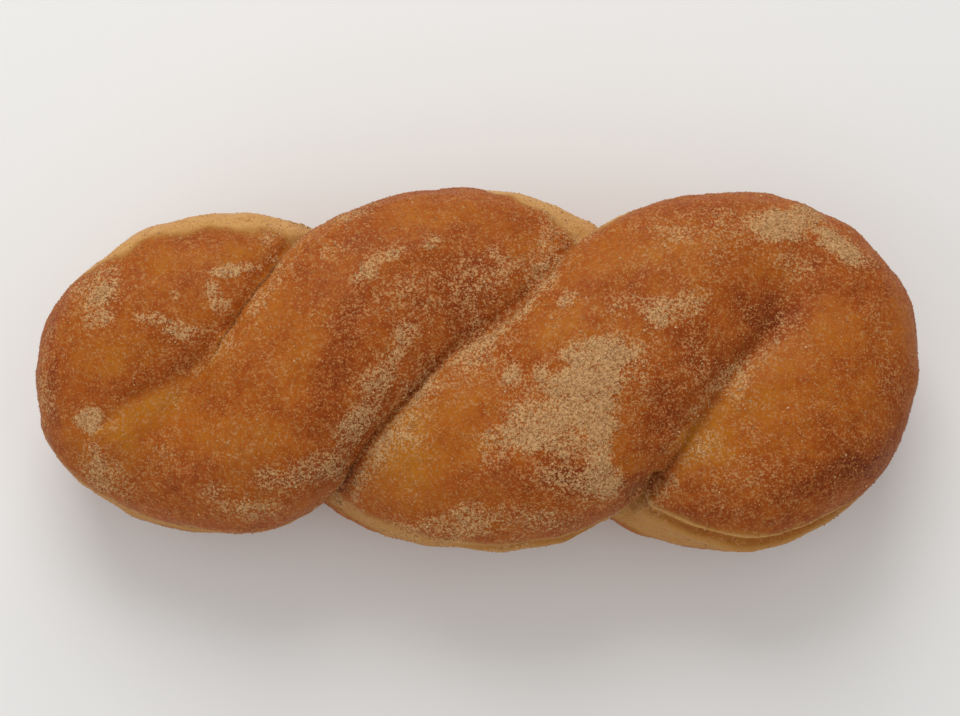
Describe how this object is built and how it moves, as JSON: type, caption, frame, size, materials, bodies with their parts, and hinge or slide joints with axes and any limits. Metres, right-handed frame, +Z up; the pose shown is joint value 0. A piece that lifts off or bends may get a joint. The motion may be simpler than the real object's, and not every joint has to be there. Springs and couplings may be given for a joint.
{
  "type": "twisted doughnut",
  "caption": "Long fried yeast doughnut: a rope of dough folded into a loop and turned round itself, with soft rounded ends, deep spiral creases and a coat of cinnamon sugar.",
  "frame": {"origin": "centre of the box's base, on the surface that the doughnut lies on", "axes": "+X along the doughnut, +Y across it, +Z up; it lies flat, with the side that shows best upwards"},
  "size_m": [0.1602, 0.0664, 0.0414],
  "materials": {
    "crust": "matte"
  },
  "bodies": {
    "root": {"twisted_doughnut": "crust"}
  },
  "joints": []
}
